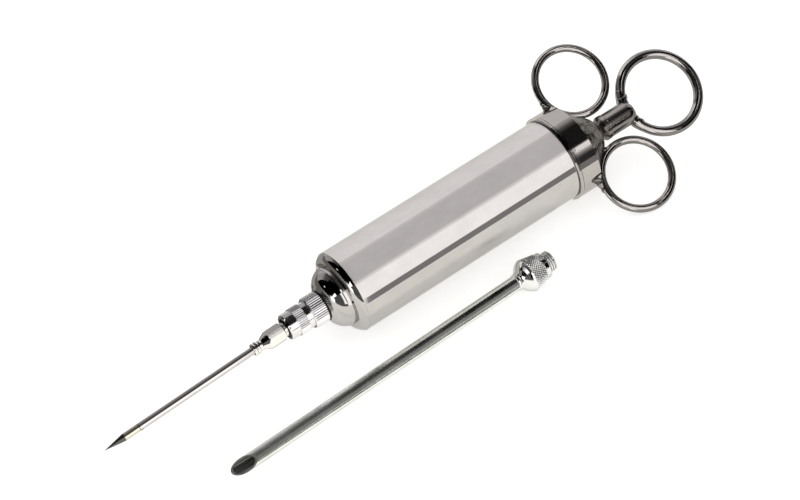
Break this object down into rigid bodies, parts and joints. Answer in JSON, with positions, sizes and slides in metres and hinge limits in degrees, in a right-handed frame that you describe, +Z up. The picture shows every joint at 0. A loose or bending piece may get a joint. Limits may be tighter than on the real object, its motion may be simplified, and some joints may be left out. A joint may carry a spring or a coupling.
{
  "type": "meat injector",
  "caption": "Metal syringe for injecting marinade: barrel, screw collar with finger rings, sliding plunger with a thumb ring, knurled needle adapter, fitted needle and a spare needle.",
  "frame": {"origin": "on the injector's axis, where the barrel tube meets the front cap", "axes": "+X along the axis from the needle towards the thumb ring, +Z up from the table that the injector lies on, +Y away from the spare needle"},
  "size_m": [0.2834, 0.0731, 0.0364],
  "materials": {
    "chrome": "polished chrome plate",
    "cast_chrome": "chrome plate over a cast surface",
    "needle_chrome": "polished",
    "rod_steel": "turned and polished",
    "brass": "turned",
    "seal_rubber": "smooth silicone",
    "washer_rubber": "matte",
    "spare_steel": "drawn tube with a dull mottled surface",
    "spare_grip_steel": "turned, with a diamond knurl"
  },
  "bodies": {
    "barrel": {"barrel_tube": "chrome", "front_cap": "chrome"},
    "adapter_seal": {"adapter_washer": "washer_rubber"},
    "adapter": {"luer_adapter": "chrome"},
    "needle": {"needle_hub": "needle_chrome", "needle_tube": "needle_chrome", "needle_tip": "needle_chrome"},
    "collar_seal": {"cap_gasket": "washer_rubber"},
    "collar": {"rear_cap": "chrome", "rear_dome": "cast_chrome", "rod_bush": "brass", "finger_ring_upper": "chrome", "finger_ring_lower": "chrome", "ring_braze_upper": "cast_chrome", "ring_braze_lower": "cast_chrome"},
    "piston_seals": {"piston_seal_front": "seal_rubber", "piston_seal_rear": "seal_rubber"},
    "plunger": {"plunger_rod": "rod_steel", "rod_jam_nut": "rod_steel", "piston_body": "brass", "piston_washer_front": "rod_steel", "piston_washer_rear": "rod_steel", "piston_nuts": "rod_steel", "thumb_hub": "chrome", "thumb_ring": "chrome", "thumb_ring_braze": "cast_chrome"},
    "spare_needle": {"spare_tube": "spare_steel", "spare_hub": "spare_grip_steel"}
  },
  "joints": [
    {"name": "collar_travel", "type": "slide", "parent": "barrel", "child": "collar_seal", "axis": [1, 0, 0], "range_m": [0, 0.00742]},
    {"name": "collar_turn", "type": "hinge", "parent": "collar_seal", "child": "collar", "pos_m": [0.106, 0, 0], "axis": [1, 0, 0], "range_deg": [0, 1780]},
    {"name": "plunger_slide", "type": "slide", "parent": "collar", "child": "piston_seals", "axis": [1, 0, 0], "range_m": [-0.0008, 0.0925]},
    {"name": "plunger_turn", "type": "hinge", "parent": "piston_seals", "child": "plunger", "pos_m": [0.0114, 0, 0], "axis": [1, 0, 0], "continuous": true},
    {"name": "adapter_travel", "type": "slide", "parent": "barrel", "child": "adapter_seal", "axis": [-1, 0, 0], "range_m": [0, 0.00501]},
    {"name": "adapter_turn", "type": "hinge", "parent": "adapter_seal", "child": "adapter", "pos_m": [-0.0136, 0, 0], "axis": [-1, 0, 0], "range_deg": [0, 1800]},
    {"name": "needle_pull", "type": "slide", "parent": "adapter", "child": "needle", "axis": [-1, 0, 0], "range_m": [0, 0.01]},
    {"name": "spare_lift", "type": "slide", "parent": "barrel", "child": "spare_needle", "axis": [0, 0, 1], "range_m": [0, 0.08]}
  ],
  "couplings": [
    {"joint": "collar_travel", "follows": "collar_turn", "m_per_rad": 0.00023873},
    {"joint": "adapter_travel", "follows": "adapter_turn", "m_per_rad": 0.00015915}
  ]
}
